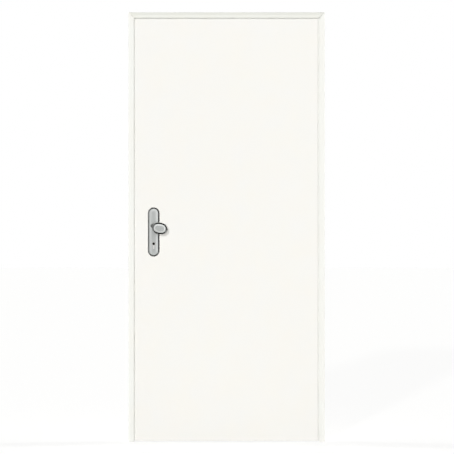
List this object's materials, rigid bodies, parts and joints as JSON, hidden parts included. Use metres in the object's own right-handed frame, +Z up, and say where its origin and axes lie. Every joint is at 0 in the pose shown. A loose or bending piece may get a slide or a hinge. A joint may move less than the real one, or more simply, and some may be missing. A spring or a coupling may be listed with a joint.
{
  "type": "entrance door",
  "caption": "Plain white entrance door: rebated leaf in a frame with mitred facings, with a fixed oval knob on a long plate, profile cylinder, inside lever and barrel hinges.",
  "frame": {"origin": "on the hinge jamb's wall face, at floor level and at the middle of the frame's depth", "axes": "+X out of the hinge jamb into the wall beside it, +Y from outside to inside, the way the leaf opens, +Z up"},
  "size_m": [0.925, 0.175, 2.0225],
  "materials": {
    "frame_lacquer": "satin white lacquer on timber",
    "leaf_lacquer": "satin white lacquer on board",
    "leaf_edge_lacquer": "satin white lacquer on timber edges",
    "seal_rubber": "pale matt rubber",
    "fitting_aluminium": "satin anodised",
    "hardware_steel": "matt nickel plated",
    "cylinder_nickel": "matt nickel plated brass"
  },
  "bodies": {
    "frame": {"lock_jamb": "frame_lacquer", "hinge_jamb": "frame_lacquer", "head": "frame_lacquer", "lock_side_facing": "frame_lacquer", "hinge_side_facing": "frame_lacquer", "head_facing": "frame_lacquer", "lock_side_seal": "seal_rubber", "hinge_side_seal": "seal_rubber", "head_seal": "seal_rubber", "strike_plate": "hardware_steel", "lower_hinge_frame_part": "hardware_steel", "middle_hinge_frame_part": "hardware_steel", "upper_hinge_frame_part": "hardware_steel", "lower_hinge_pin": "hardware_steel", "middle_hinge_pin": "hardware_steel", "upper_hinge_pin": "hardware_steel"},
    "leaf": {"leaf_outer_panel": "leaf_lacquer", "leaf_inner_skin": "leaf_lacquer", "lock_stile": "leaf_edge_lacquer", "hinge_stile": "leaf_edge_lacquer", "top_rail": "leaf_edge_lacquer", "bottom_rail": "leaf_edge_lacquer", "leaf_infill": "leaf_edge_lacquer", "lock_forend": "hardware_steel", "latch_bolt": "hardware_steel", "dead_bolt": "hardware_steel", "lower_hinge_leaf_part": "hardware_steel", "middle_hinge_leaf_part": "hardware_steel", "upper_hinge_leaf_part": "hardware_steel", "outer_plate": "fitting_aluminium", "outer_knob": "fitting_aluminium", "inner_plate": "fitting_aluminium", "inner_lever": "fitting_aluminium", "lock_cylinder": "cylinder_nickel", "outer_plug": "cylinder_nickel", "inner_plug": "cylinder_nickel"}
  },
  "joints": [
    {"name": "leaf_swing", "type": "hinge", "parent": "frame", "child": "leaf", "pos_m": [-0.01725, 0.041, 0], "axis": [0, 0, -1], "range_deg": [0, 110]}
  ]
}
